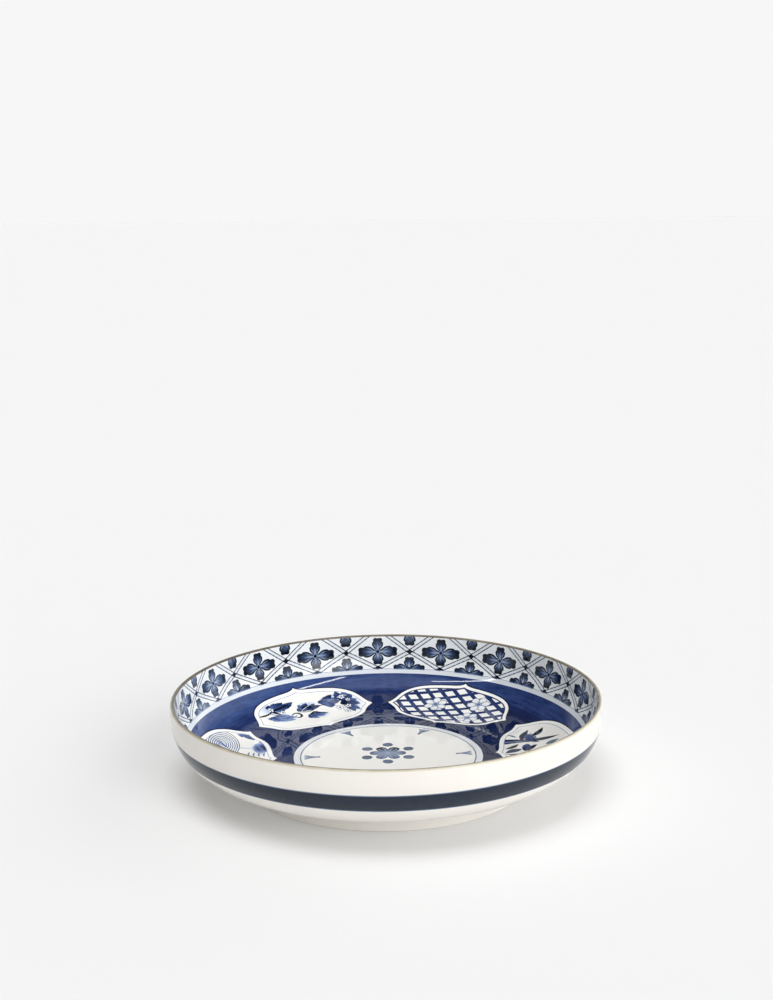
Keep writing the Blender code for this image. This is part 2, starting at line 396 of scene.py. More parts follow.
def strip_wrap(direction):
    """Wrap a straight strip round the wall, centred on a direction."""
    return lambda x, y: (direction + x / STRIP_RADIUS, y)


# ---- Flat shapes ----

def area(outline):
    """The area of an outline, above nothing if it runs counter-clockwise."""
    total = 0.0
    for (x, y), (u, v) in zip(outline, outline[1:] + outline[:1]):
        total += x * v - u * y
    return total / 2.0


def counter_clockwise(outline):
    outline = [(float(x), float(y)) for x, y in outline]
    return outline if area(outline) > 0.0 else outline[::-1]


def edge_distance(region, point):
    """How far a point is from the nearest side of a closed outline."""
    start = region
    side = np.roll(region, -1, axis=0) - start
    offset = np.asarray(point) - start
    share = np.clip((offset * side).sum(1) / np.maximum((side * side).sum(1), TINY_SQUARE), 0.0, 1.0)
    return np.hypot(*(offset - side * share[:, None]).T).min()


def inside(region, point, margin):
    """Whether a point is inside an outline by a margin."""
    x, y = point
    x0, y0 = region.T
    x1, y1 = np.roll(region, -1, axis=0).T
    crosses = (y0 > y) != (y1 > y)
    with np.errstate(divide="ignore", invalid="ignore"):
        meets = x0 + (y - y0) * (x1 - x0) / (y1 - y0)
    if not (np.count_nonzero(crosses & (meets > x)) % 2):
        return False
    return edge_distance(region, point) > margin


def bezier(start, first, second, end, pieces):
    """Points of a cubic curve after its start."""
    points = []
    for step in range(1, pieces + 1):
        t = step / pieces
        weights = ((1 - t) ** 3, 3 * t * (1 - t) ** 2, 3 * t * t * (1 - t), t ** 3)
        points.append(tuple(
            sum(w * c[axis] for w, c in zip(weights, (start, first, second, end))) for axis in (0, 1)))
    return points


def smooth(points, closed=True, pieces=5):
    """A curve through the points."""
    count = len(points)
    spans = count if closed else count - 1
    curve = []
    for index in range(spans):
        if closed:
            a, b, c, d = (points[(index + k) % count] for k in (-1, 0, 1, 2))
        else:
            b, c = points[index], points[index + 1]
            a = points[index - 1] if index else b
            d = points[index + 2] if index + 2 < count else c
        for step in range(pieces):
            t = step / pieces
            curve.append(tuple(
                0.5 * (2 * b[k] + (c[k] - a[k]) * t
                       + (2 * a[k] - 5 * b[k] + 4 * c[k] - d[k]) * t * t
                       + (3 * b[k] - a[k] - 3 * c[k] + d[k]) * t ** 3)
                for k in (0, 1)))
    if not closed:
        curve.append(points[-1])
    return curve


def stroke(points, widths, pieces=4):
    """A brush stroke: a smooth line through the points, with a width at each."""
    line = smooth(points, closed=False, pieces=pieces)
    places = np.linspace(0.0, len(widths) - 1, len(line))
    width = np.interp(places, range(len(widths)), widths)
    line = np.array(line)
    way = np.gradient(line, axis=0)
    way /= np.maximum(np.hypot(*way.T), TINY)[:, None]
    across = np.stack([-way[:, 1], way[:, 0]], -1) * (width / 2.0)[:, None]
    left, right = line + across, line - across
    return [tuple(p) for p in left] + [tuple(p) for p in right[::-1]]


def leaf(base, tip, width, bend=0.0, belly=0.45, pieces=9):
    """A pointed leaf from base to tip, curved sideways by bend."""
    base, tip = np.array(base, float), np.array(tip, float)
    along = tip - base
    length = np.hypot(*along)
    across = np.array([-along[1], along[0]]) / length
    left, right = [], []
    for step in range(pieces + 1):
        t = step / pieces
        bulge = math.sin(math.pi * t ** (math.log(0.5) / math.log(belly)))
        middle = base + along * t + across * bend * math.sin(math.pi * t)
        left.append(tuple(middle + across * width / 2.0 * bulge))
        right.append(tuple(middle - across * width / 2.0 * bulge))
    return left + right[-2:0:-1]


def placed(points, centre, turn):
    """Points moved from their own axes to a centre and a turn."""
    cos, sin = math.cos(turn), math.sin(turn)
    return [(centre[0] + x * cos - y * sin, centre[1] + x * sin + y * cos) for x, y in points]


def oval(centre, radius_x, radius_y=None, turn=0.0, pieces=14):
    """An ellipse, or a circle where one radius is given."""
    radius_y = radius_x if radius_y is None else radius_y
    angles = [TAU * step / pieces for step in range(pieces)]
    ring = [(radius_x * math.cos(angle), radius_y * math.sin(angle)) for angle in angles]
    return placed(ring, centre, turn)


def away(centre, reach, angle):
    """The point at a distance and an angle from a centre."""
    return centre[0] + reach * math.cos(angle), centre[1] + reach * math.sin(angle)


def fade(start, end, low, high):
    """A strength that changes from low at start to high at end."""
    way = np.subtract(end, start)
    square = float(way @ way)

    def strength(x, y):
        share = ((x - start[0]) * way[0] + (y - start[1]) * way[1]) / square
        return low + (high - low) * min(max(share, 0.0), 1.0)
    return strength


def pool(centre, radius, middle, edge):
    """A strength that changes from the middle of a patch to its edge."""
    def strength(x, y):
        share = min(math.hypot(x - centre[0], y - centre[1]) / radius, 1.0)
        return middle + (edge - middle) * share
    return strength


def inset(outline, distance):
    """An outline moved inwards (outwards if negative), without the folds that its points would make."""
    outline = counter_clockwise(outline)
    region = np.array(outline)
    moved = []
    for index, (x, y) in enumerate(outline):
        before, after = outline[index - 1], outline[(index + 1) % len(outline)]
        entry = math.atan2(y - before[1], x - before[0])
        leave = math.atan2(after[1] - y, after[0] - x)
        turned_by = math.remainder(leave - entry, TAU)
        inward = entry + turned_by / 2.0 + math.pi / 2.0
        reach = distance / math.cos(turned_by / 2.0)
        point = (x + reach * math.cos(inward), y + reach * math.sin(inward))
        if edge_distance(region, point) > distance - 0.02:
            moved.append(point)
    return moved


# ---- The border on the wall ----

PETAL_SIDE = ((0.05, 0.2), (0.18, 0.48), (0.35, 0.88), (0.5, 1.02), (0.64, 1.0), (0.73, 0.8),
              (0.82, 0.84), (0.92, 0.76), (0.985, 0.44))
PETAL_NOTCH = 0.955


def petal_outline(length, half_width):
    """A petal along +X with a notched tip."""
    side = [(along * length, across * half_width) for along, across in PETAL_SIDE]
    tip = [(length * PETAL_NOTCH, 0.0)]
    return smooth(side + tip + [(x, -y) for x, y in reversed(side)], pieces=3)


def paint_petal(canvas, centre, turn, length, half_width, dark=0.98, heart=0.2):
    """One brushed petal: dark notched tip, blue body with strokes, and a pale heart."""
    def at(points):
        return placed(points, centre, turn)

    tip = at([(length, 0.0)])[0]
    root = at([(0.0, 0.0)])[0]
    canvas.paint(at(petal_outline(length, half_width)), (fade(root, tip, 0.84, dark), 0.15))
    body = smooth([(0.1, 0.08), (0.3, 0.5), (0.5, 0.74), (0.66, 0.6), (0.76, 0.2), (0.76, -0.2),
                   (0.66, -0.6), (0.5, -0.74), (0.3, -0.5), (0.1, -0.08)], pieces=2)
    body = at([(x * length, y * half_width) for x, y in body])
    canvas.paint(body, (fade(root, tip, 0.42, 0.95), 0.3))
    for side in (-1.0, 1.0):
        vein = [(0.2 * length, side * 0.16 * half_width), (0.42 * length, side * 0.5 * half_width),
                (0.7 * length, side * 0.4 * half_width)]
        canvas.paint(at(stroke(vein, (0.15, 0.5, 0.25), 3)), (0.95, 0.15))
        gleam = [(0.24 * length, side * 0.3 * half_width), (0.56 * length, side * 0.7 * half_width)]
        canvas.paint(at(leaf(gleam[0], gleam[1], 0.7, pieces=4)), (0.46, 0.45))
    streak = leaf((0.1 * length, 0.0), (0.62 * length, 0.0), 0.4 * half_width, pieces=6)
    canvas.paint(at(streak), (fade(root, tip, heart, 0.8), 0.55))


def lattice_lines(side):
    """The two bands of the lattice on one side of a sector: (start, end) of their middles."""
    crossing = (side * HALF_SECTOR, FLOWER_ARC)
    return (
        (crossing, (side * 7.0, 143.9)),
        (crossing, (0.0, 122.3)),
    )


def ribbon(run, across, widths):
    """An outline round a line, with a width at each of its points."""
    left = [tuple(point + across * width / 2) for point, width in zip(run, widths)]
    right = [tuple(point - across * width / 2) for point, width in zip(run, widths)]
    return left + right[::-1]


def paint_band(canvas, start, end):
    """A lattice band: two thin lines with a pale wash between them."""
    gap, line, overshoot, steps = 2.2, 0.6, 2.5, 16
    way = np.subtract(end, start)
    across = np.array([-way[1], way[0]]) / np.hypot(*way)
    over = way / np.hypot(*way) * overshoot
    run = spaced(np.subtract(start, over), np.add(end, over), steps)
    canvas.paint(ribbon(run, across, [gap] * len(run)), (0.1, 0.7))
    for side in (-1.0, 1.0):
        middle = [point + across * side * gap / 2 for point in run]
        widths = [line * (1.0 + 0.25 * math.sin(3.0 * step + side)) for step in range(steps + 1)]
        canvas.paint(ribbon(middle, across, widths), (0.88, 0.15))


def knot(centre, half_width, half_height):
    """A dark four-pointed knot with hollow sides."""
    x, y = half_width, half_height
    quarter = [(x, 0.0), (0.5 * x, 0.36 * y), (0.3 * x, 0.62 * y), (0.0, y)]
    ring = quarter + [(-a, b) for a, b in reversed(quarter[:-1])]
    ring += [(a, -b) for a, b in reversed(ring[1:-1])]
    return [(centre[0] + a, centre[1] + b) for a, b in ring]


def border_canvas():
    """One of the border's repeats, centred on a flower."""
    wide = spaced(-HALF_SECTOR, HALF_SECTOR, 34)
    tall = spaced(LINE_END, BORDER_TOP, 18)
    outline = [(x, LINE_END) for x in wide[:-1]] + [(HALF_SECTOR, y) for y in tall[:-1]]
    outline += [(x, BORDER_TOP) for x in wide[:0:-1]] + [(-HALF_SECTOR, y) for y in tall[:0:-1]]
    canvas = Canvas(outline, (0.05, 0.8))
    for side in (-1.0, 1.0):
        for start, end in lattice_lines(side):
            paint_band(canvas, start, end)
    for side in (-1.0, 1.0):
        edge = side * HALF_SECTOR
        for way in (0.0, math.pi):
            paint_petal(canvas, (edge, 122.0), way, 11.0, 3.5, dark=0.86, heart=0.4)
        paint_petal(canvas, (edge, 122.0), math.pi / 2, 8.2, 3.6, dark=0.95, heart=0.1)
        paint_petal(canvas, (edge, 146.6), -math.pi / 2, 9.2, 3.9, dark=1.0, heart=0.6)
        canvas.paint(oval((edge, 122.5), 0.9), (0.95, 0.3))
        canvas.paint(knot((edge, FLOWER_ARC), 2.5, 2.0), (0.99, 0.2))
        canvas.paint(oval((edge, FLOWER_ARC), 1.35, 1.15), (0.99, 0.2))
    flower = (0.0, 133.6)
    for way, length, width in ((0.0, 13.2, 3.7), (math.pi, 13.2, 3.7), (math.pi / 2, 9.3, 3.6),
                               (-math.pi / 2, 8.7, 3.7)):
        paint_petal(canvas, flower, way, length, width)
    canvas.paint(oval(flower, 1.7), (0.42, 0.6))
    canvas.paint(oval(flower, 1.05), (0.99, 0.3))
    canvas.paint(knot((0.0, 122.9), 3.0, 1.5), (0.95, 0.25))
    base_line = [(x, LINE_END + 0.55) for x in wide] + [(x, LINE_END + 0.25) for x in wide[::-1]]
    canvas.paint(base_line, (0.5, 0.5))
    return canvas


# ---- The ground and its panels ----

PANEL_LOBES = (
    ((0.0, 114.9), (1.4, 112.9), (5.5, 112.2), (10.0, 111.6), 5),
    ((10.0, 111.6), (24.0, 109.0), (36.5, 104.5), (38.6, 92.0), 20),
    ((38.6, 92.0), (39.2, 88.0), (39.6, 84.5), (41.4, 81.9), 7),
    ((41.4, 81.9), (39.4, 80.6), (36.2, 79.8), (33.0, 76.4), 7),
    ((33.0, 76.4), (29.4, 71.6), (24.0, 69.2), (10.0, 67.6), 15),
    ((10.0, 67.6), (4.6, 67.0), (1.4, 66.0), (0.0, 64.2), 6),
)


def panel_outline():
    """A lobed panel with four outward points, +Y away from the bowl's centre."""
    half = [PANEL_LOBES[0][0]]
    for segment in PANEL_LOBES:
        half += bezier(*segment)
    return half + [(-x, y) for x, y in reversed(half[1:-1])]


def ground_canvas():
    """A sixth of the blue ground, centred on a panel; the panel itself is left out later."""
    reach = math.pi / PANELS
    turns = spaced(-reach, reach, EDGE_STEPS)
    radii = spaced(MEDALLION_EDGE, LINE_START, ROW_STEPS)

    def at(turn, arc):
        return arc * math.sin(turn), arc * math.cos(turn)

    outline = [at(turn, LINE_START) for turn in turns[:-1]]
    outline += [at(reach, arc) for arc in radii[:0:-1]]
    outline += [at(turn, MEDALLION_EDGE) for turn in turns[:0:-1]]
    outline += [at(-reach, arc) for arc in radii[:-1]]

    def wash_with_painted_reflection(x, y):
        """Deepest across the middle, and painted lighter near the wall as a painted reflection of the light
        in the glaze.
        """
        # Painted reflection: the strength falls over the stretch from 100 to 110 mm before the wall.
        high = min(max((math.hypot(x, y) - 100.0) / 10.0, 0.0), 1.0)
        return 0.84 - 0.16 * high

    canvas = Canvas(outline, (wash_with_painted_reflection, 1.0))
    canvas.paint(inset(panel_outline(), -0.9), (0.9, 1.0))
    return canvas


def without(cut, outline):
    """A cut canvas with the triangles inside an outline removed."""
    flat, triangles, cobalt, tint = cut
    region = np.array(outline)
    middles = flat[triangles].mean(1)
    keep = np.array([not inside(region, middle, 0.0) for middle in middles])
    return flat, triangles[keep], cobalt.reshape(-1, 3)[keep].ravel(), tint.reshape(-1, 3)[keep].ravel()


class Panel(Canvas):
    """A panel: a white frame, a thin line inside it, and the field that holds the painting."""

    def __init__(self, inner_line=True, field=CREAM):
        outline = panel_outline()
        super().__init__(outline)
        if inner_line:
            self.paint(inset(outline, FRAME_LINE), (0.42, 0.35))
        self.field = self.paint(inset(outline, FRAME if inner_line else NARROW_FRAME), field)

    def draw(self, outline, strength, blue):
        """Paint a shape within the field."""
        self.paint(outline, (strength, blue), self.field)

    def line(self, points, widths, strength, blue):
        """Paint one brush stroke within the field."""
        self.draw(stroke(points, widths), strength, blue)

    def blade(self, base, tip, width, bend, near, far, blue, belly=0.45, pieces=9):
        """A leaf whose wash changes from its base to its tip."""
        self.draw(leaf(base, tip, width, bend, belly, pieces), fade(base, tip, near, far), blue)

    def spray(self, root, tips, width, near, far):
        """Leaves from one root, every other one lighter, each with a dark midrib."""
        for number, tip in enumerate(tips):
            bend, lighter = (0.5, 0.82) if number % 2 else (-0.5, 1.0)
            self.blade(root, tip, width, bend, near * lighter, far * lighter, 0.9, 0.6)
            middle = ((root[0] + tip[0]) / 2, (root[1] + tip[1]) / 2)
            self.line([root, middle, tip], (0.2, 0.35, 0.1), 0.9, 0.6)

    def blossom(self, centre, radius, turn):
        """A small white blossom with five outlined petals and a dotted heart."""
        turns = [turn + TAU * number / 5 for number in range(5)]
        for angle in turns:
            middle = away(centre, 0.58 * radius, angle)
            self.draw(oval(middle, 0.45 * radius, 0.38 * radius, angle, 10), 0.62, 0.7)
        reach = radius - 0.5
        for angle in turns:
            middle = away(centre, 0.56 * radius, angle)
            self.draw(oval(middle, 0.40 * reach, 0.33 * reach, angle, 10), *WHITE)
        self.draw(oval(centre, 0.2 * radius, pieces=8), 0.75, 0.6)

    def large_blossom(self, centre, radius, turn):
        """A white blossom seen from above, with grey-blue edges and fine stamens."""
        petals = 6
        self.draw(oval(centre, 0.62 * radius, pieces=18), 0.3, 0.5)
        for number in range(petals):
            angle = turn + TAU * number / petals
            middle = away(centre, 0.64 * radius, angle)
            self.draw(oval(middle, 0.42 * radius, 0.37 * radius, angle, 14), 0.55, 0.55)
            self.draw(oval(middle, 0.36 * radius, 0.305 * radius, angle, 14), 0.07, 0.4)
        for number in range(2 * petals):
            angle = turn + TAU * (number + 0.5) / (2 * petals)
            reach = radius * (0.46 if number % 2 else 0.6)
            stamen = [away(centre, 0.14 * radius, angle), away(centre, reach, angle)]
            self.draw(stroke(stamen, (0.3, 0.16), 2), 0.4, 0.6)
        self.draw(oval(centre, 0.17 * radius, pieces=10), 0.55, 0.7)


def lattice_blossom_panel():
    """White lozenges on blue, with three blossoms lying on them."""
    panel = Panel(inner_line=False, field=(0.8, 1.0))
    panel.field = panel.paint(inset(panel_outline(), FRAME), (0.76, 1.0), panel.field)
    origin, first, second = (0.0, 108.0), (7.2, -3.5), (-6.2, -5.5)
    share = 0.32
    corners = ((share, share), (share, -share), (-share, -share), (-share, share))
    for i in range(-6, 12):
        for j in range(-4, 12):
            x = origin[0] + i * first[0] + j * second[0]
            y = origin[1] + i * first[1] + j * second[1]
            if abs(x) < 46.0 and 60.0 < y < 118.0:
                lozenge = [(x + a * first[0] + b * second[0], y + a * first[1] + b * second[1])
                           for a, b in corners]
                panel.draw(lozenge, 0.015, 0.3)
    panel.large_blossom((11.5, 91.0), 7.4, 0.3)
    panel.large_blossom((-16.0, 97.5), 7.4, 0.8)
    panel.large_blossom((-15.5, 80.0), 6.8, 0.1)
    return panel


def leaf_spray_panel():
    """Washed leaves and small white blossoms along a branch."""
    panel = Panel()
    line, blossom, spray = panel.line, panel.blossom, panel.spray
    for centre, across, along, strength in (
            ((23, 99), 10.0, 5.0, 0.34), ((20, 87), 9.0, 4.6, 0.3), ((-1, 96.4), 8.6, 4.4, 0.3),
            ((-3, 83.6), 7.4, 3.8, 0.26), ((-18, 97), 8.0, 4.8, 0.3), ((-30, 89), 7.0, 9.0, 0.36)):
        cloud = oval(centre, across, along, pieces=22)
        panel.draw(cloud, pool(centre, across, strength, 0.04), 0.95)
    spray((24, 97), ((24, 103.6), (19, 105), (13, 104.6), (6, 103.4), (8, 100.6), (14, 98)), 5.2, 0.5, 0.9)
    spray((28, 91), ((30, 87.4), (25, 84.6), (20, 83.4), (14, 83.6), (12, 86.4), (15, 90.4)),
          5.0, 0.72, 0.42)
    spray((4, 91.4), ((6.8, 96), (4, 99.6), (-2, 99.8), (-7, 97.6), (-9.8, 94.4)), 4.4, 0.66, 0.84)
    spray((3.4, 87), ((3.8, 81.2), (-1, 79.6), (-6.4, 81.8), (-9.8, 84)), 4.2, 0.95, 0.46)
    spray((-11.4, 93.4), ((-12.8, 99.6), (-17, 101.8), (-22, 101.8), (-25, 98.4), (-24.4, 94),
                          (-19, 90.8)), 4.8, 0.5, 0.86)
    spray((-25.6, 91), ((-26, 104), (-31.4, 102), (-34.8, 97.4), (-35, 91), (-34.4, 85), (-30.6, 78.4),
                        (-26, 77.4)), 5.6, 0.9, 0.62)
    line([(37, 92.4), (32, 93), (27.5, 94.6), (24, 97), (21, 98)], (0.9, 1.7, 1.2, 0.9, 0.5), 0.95, 0.1)
    line([(25.4, 97), (22.8, 95.2), (20, 92)], (0.8, 2.8, 0.9), 0.96, 0.4)
    line([(24, 97), (17, 99.4), (10, 102)], (1.2, 2.2, 0.6), 0.98, 0.5)
    line([(27, 94.6), (23, 92), (18, 88.5), (13, 86.5)], (0.5, 0.9, 0.6, 0.2), 0.84, 0.7)
    blossom((24.5, 98.6), 2.4, 0.4)
    blossom((17.6, 94.6), 1.9, 0.1)
    line([(14.2, 88.6), (11.5, 91), (8.4, 90.2), (8.0, 87), (10.6, 85.4), (12.4, 87.2), (10.6, 88.6)],
         (0.5, 1.2, 1.9, 1.6, 1.1, 0.7, 0.4), 0.94, 0.5)
    line([(3.4, 95.6), (-1, 95.2), (-6, 94.6)], (1.6, 3.4, 0.8), 0.97, 0.5)
    line([(5.5, 92), (2, 94.5), (-4.5, 97.5)], (0.3, 0.6, 0.2), 0.2, 0.5)
    line([(3.2, 86), (-2, 88.2), (-5, 86.4), (-9.8, 84)], (0.5, 2.4, 1.5, 0.4), 0.97, 0.4)
    line([(8, 92), (4, 90.6), (-1, 90.6), (-8, 93.4), (-14, 94)], (0.3, 0.6, 0.9, 0.7, 0.4), 0.8, 0.5)
    line([(-11.3, 94), (-13, 97.4), (-17, 101), (-21.2, 101.8), (-24.8, 99.2)],
         (0.4, 0.7, 0.9, 0.7, 0.4), 0.8, 0.4)
    dark_leaf = smooth([(-24.2, 92.8), (-27.8, 93), (-28.6, 89.4), (-25.2, 87.6), (-22.6, 90)])
    panel.draw(dark_leaf, 0.98, 0.7)
    line([(-24, 97.6), (-28, 98.6), (-31, 97)], (0.4, 0.9, 0.3), 0.06, 0.5)
    blossom((-20, 86.6), 2.9, 0.3)
    blossom((-22.4, 80.8), 2.7, 0.9)
    blossom((-26, 86.2), 2.3, 0.5)
    blossom((-27, 97), 2.4, 0.1)
    blossom((-29.4, 92.8), 1.9, 0.7)
    line([(-18, 92), (-19, 89.5)], (0.5, 0.4), 0.8, 0.4)
    line([(-24, 88), (-23, 84)], (0.5, 0.4), 0.8, 0.4)
    return panel


def draw_roundel(panel, centre):
    """Rings one inside another, with brushed blades across them."""
    for number in range(7):
        grow = 1.0 - 0.125 * number
        wide, tall = 19.0 * grow, 10.4 * grow
        panel.draw(oval(centre, wide, tall, 0.03, 40), 0.66, 0.75)
        panel.draw(oval(centre, wide - 0.6, tall - 0.55, 0.03, 40), 0.06 + 0.02 * number, 0.2)
    for number in range(6):
        x, y = -8.5 - 1.9 * number, 96.0 + 1.3 * (number % 3)
        points = [(x + 2.6, y - 2.4), (x, y + 0.6), (x - 0.8, y + 4.0)]
        panel.line(points, (0.5, 1.1, 0.4), 0.78 - 0.05 * number, 0.9)
    panel.draw(oval((-22.4, 96.4), 3.8, 3.0), 0.22, 0.0)


def roundel_panel():
    """A ringed roundel over a blue bloom, with leaves at the far side."""
    panel = Panel()
    draw_roundel(panel, (-15.0, 97.4))
    bloom = (-17.5, 72.6)
    blob = oval((bloom[0], bloom[1] + 1.8), 9.6, 4.4, 0.0, 24)
    panel.draw(blob, pool(bloom, 10.0, 0.95, 0.16), 1.0)
    for number in range(9):
        angle = math.pi * (0.06 + 0.11 * number)
        tip = (bloom[0] + 9.0 * math.cos(angle), bloom[1] + 0.8 + 7.4 * math.sin(angle))
        panel.blade(bloom, tip, 2.2, 0.3, 0.96, 0.22, 1.0, 0.6)
    panel.line([(-15, 88), (-15.6, 84), (-16.6, 80)], (1.2, 1.6, 0.8), 0.2, 0.2)
    for number in range(4):
        y = 72.0 + 3.0 * number
        panel.line([(-3.5, y), (-6.5, y + 0.5), (-9.6, y)], (0.5, 1.3, 0.5), 0.42, 0.5)
    for base, tip, width, bend, strength in (
            ((-30, 80), (-36, 88.6), 5.0, 1.2, 0.86), ((-31.5, 86), (-35.4, 90), 2.4, 0.4, 0.7),
            ((-29, 79.6), (-35, 77.4), 2.4, -0.5, 0.66), ((-26, 75.4), (-32.6, 76), 1.6, 0.4, 0.5),
            ((-7, 88.6), (2, 84.4), 3.6, 0.8, 0.6), ((0, 73), (9, 72.6), 3.2, -0.6, 0.7),
            ((8, 76), (16, 80), 3.8, 1.0, 0.8), ((12, 82), (6, 89), 4.0, 0.9, 0.7),
            ((14, 82), (22, 88), 4.6, -1.0, 0.85), ((20, 80), (30, 81), 4.0, 0.9, 0.6),
            ((21, 90), (17, 99), 4.4, 0.8, 0.75), ((23, 90), (31, 96), 4.2, -0.8, 0.85)):
        panel.blade(base, tip, width, bend, strength, 0.4, 0.95)
    branch = [(-2, 79), (8, 77), (18, 83), (22, 91), (23, 100)]
    panel.line(branch, (0.4, 0.8, 0.9, 0.7, 0.4), 0.9, 0.5)
    for centre, radius in (((3.6, 82.8), 2.6), ((13, 94), 3.2), ((27, 88.6), 2.6)):
        panel.blossom(centre, radius, radius)
    return panel


def reeds_panel():
    """Upright stems with long blades."""
    panel = Panel()
    blade, line, draw = panel.blade, panel.line, panel.draw
    stem = [(20.4, 69.6), (20, 77), (17.6, 84.4), (15, 90.4), (11.4, 91.4), (13.4, 84), (13.6, 76),
            (13, 69.6)]
    draw(smooth(stem), fade((20, 72), (13, 90), 0.72, 0.95), 0.5)
    line([(16.4, 70), (16, 78), (14.4, 88)], (0.9, 1.3, 0.4), 0.4, 0.4)
    line([(19.8, 70), (19.2, 77), (16.4, 86)], (0.9, 1.4, 0.6), 0.97, 0.3)
    blade((14.6, 88), (10.8, 105), 4.2, 0.3, 1.0, 0.9, 0.2, 0.33)
    blade((20, 88), (28.6, 97), 4.4, 1.2, 0.86, 0.97, 0.3)
    blade((17, 82), (30.6, 88), 4.6, -1.0, 0.98, 0.94, 0.5)
    wing = [(24.4, 87.6), (19, 90), (12.6, 90.4), (9.6, 92), (12, 87.6), (17, 84.6), (22.4, 84)]
    draw(smooth(wing), fade((23, 86), (10, 91), 0.62, 0.84), 0.85)
    line([(25, 88.4), (19.4, 90.6), (12, 90.6)], (0.4, 0.7, 0.3), 0.93, 0.3)
    blade((22, 79.6), (28.4, 73.6), 1.6, 0.7, 0.5, 0.7, 0.45)
    bud = [(10, 84.8), (5.6, 86.2), (0.6, 84.4), (-0.6, 81.6), (4, 80.6), (8.6, 81.6)]
    draw(smooth(bud), fade((9, 84), (0, 82), 0.62, 0.92), 0.9)
    blade((7, 90), (-1, 83.6), 4.0, 1.0, 0.96, 0.9, 0.7)
    blade((11.8, 79.4), (4.2, 70), 3.4, -0.8, 0.97, 1.0, 0.2)
    blade((3.4, 80.6), (-2.4, 69.6), 5.4, 1.0, 0.8, 0.98, 0.6)
    blade((3.4, 94.6), (5.4, 103.6), 4.4, -0.5, 0.6, 0.45, 0.1)
    for base, tip, width, bend in (
            ((-4, 70), (-6.5, 92), 4.6, 1.2), ((-7, 84), (-17, 95), 3.4, -1.2),
            ((-6, 90), (-5, 104), 2.2, 0.6), ((-12, 71), (-19, 84), 3.4, 1.0),
            ((-18, 76), (-30, 82.6), 3.2, 1.2), ((-17, 84), (-26, 96), 3.0, -1.0),
            ((-22, 88), (-31.5, 92), 2.4, 0.7)):
        blade(base, tip, width, bend, 0.6, 0.9, 0.5)
        middle = ((base[0] + tip[0]) / 2 + 0.3, (base[1] + tip[1]) / 2)
        line([base, middle, tip], (0.5, 0.45, 0.2), 0.95, 0.3)
    line([(33.4, 84.6), (30, 80.6), (26.4, 76.6)], (0.3, 0.4, 0.2), 0.4, 0.2)
    return panel


def waves_panel():
    """Rows of ringed waves under two small blossoms' petals."""
    panel = Panel()
    for row in range(6):
        for column in range(-6, 7):
            crest = (9.6 * column + (4.8 if row % 2 else 0.0), 90.0 - 4.4 * row - 1.0)
            for ring in range(4):
                radius = 5.0 * (1.0 - 0.24 * ring)
                panel.draw(oval(crest, radius, pieces=22), 0.6 if ring else 0.78, 0.85)
                panel.draw(oval(crest, radius - 0.5, pieces=22), 0.05, 0.3)
            panel.draw(oval(crest, 0.6, pieces=8), 0.7, 0.8)
    for base, tip, width, bend in (
            ((-22, 96.5), (-12, 101.6), 3.6, -1.0), ((-12, 101), (-4, 98.6), 2.8, -0.8),
            ((4, 99.6), (14, 104), 3.4, -1.0), ((14, 103.6), (23, 100.6), 3.0, -0.8)):
        panel.blade(base, tip, width, bend, 0.85, 0.4, 0.85)
    panel.blossom((-12, 101.2), 2.8, 0.2)
    panel.blossom((14, 103.6), 2.8, 0.7)
    return panel


def grasses_panel():
    """A tuft of bending grasses with blossoms."""
    panel = Panel()
    tuft = (4.0, 71.0)
    for number in range(11):
        angle = math.radians(22.0 + 13.6 * number)
        reach = 24.0 + 7.0 * math.sin(2.3 * number + 0.6)
        tip = (tuft[0] + 1.15 * reach * math.cos(angle), tuft[1] + reach * math.sin(angle))
        panel.blade(tuft, tip, 2.6, 3.2 * math.cos(angle) + 0.6, 0.9, 0.42, 0.75, 0.4, 14)
    for centre, radius in (
            ((-21, 87), 3.6), ((-9, 99), 4.0), ((7, 103), 3.4), ((20, 97.6), 4.0), ((28, 86), 3.2)):
        panel.draw(oval(centre, radius * 0.9), 0.4, 0.85)
        panel.blossom(centre, radius, centre[0])
    for base, tip, width in (
            ((-27, 80), (-19, 76.4), 3.4), ((-19, 75), (-8, 72.6), 3.0), ((12, 72.6), (22, 75), 3.2),
            ((23, 76), (31, 82), 3.0)):
        panel.blade(base, tip, width, 0.8, 0.8, 0.35, 0.85)
    return panel


# ---- The medallion ----

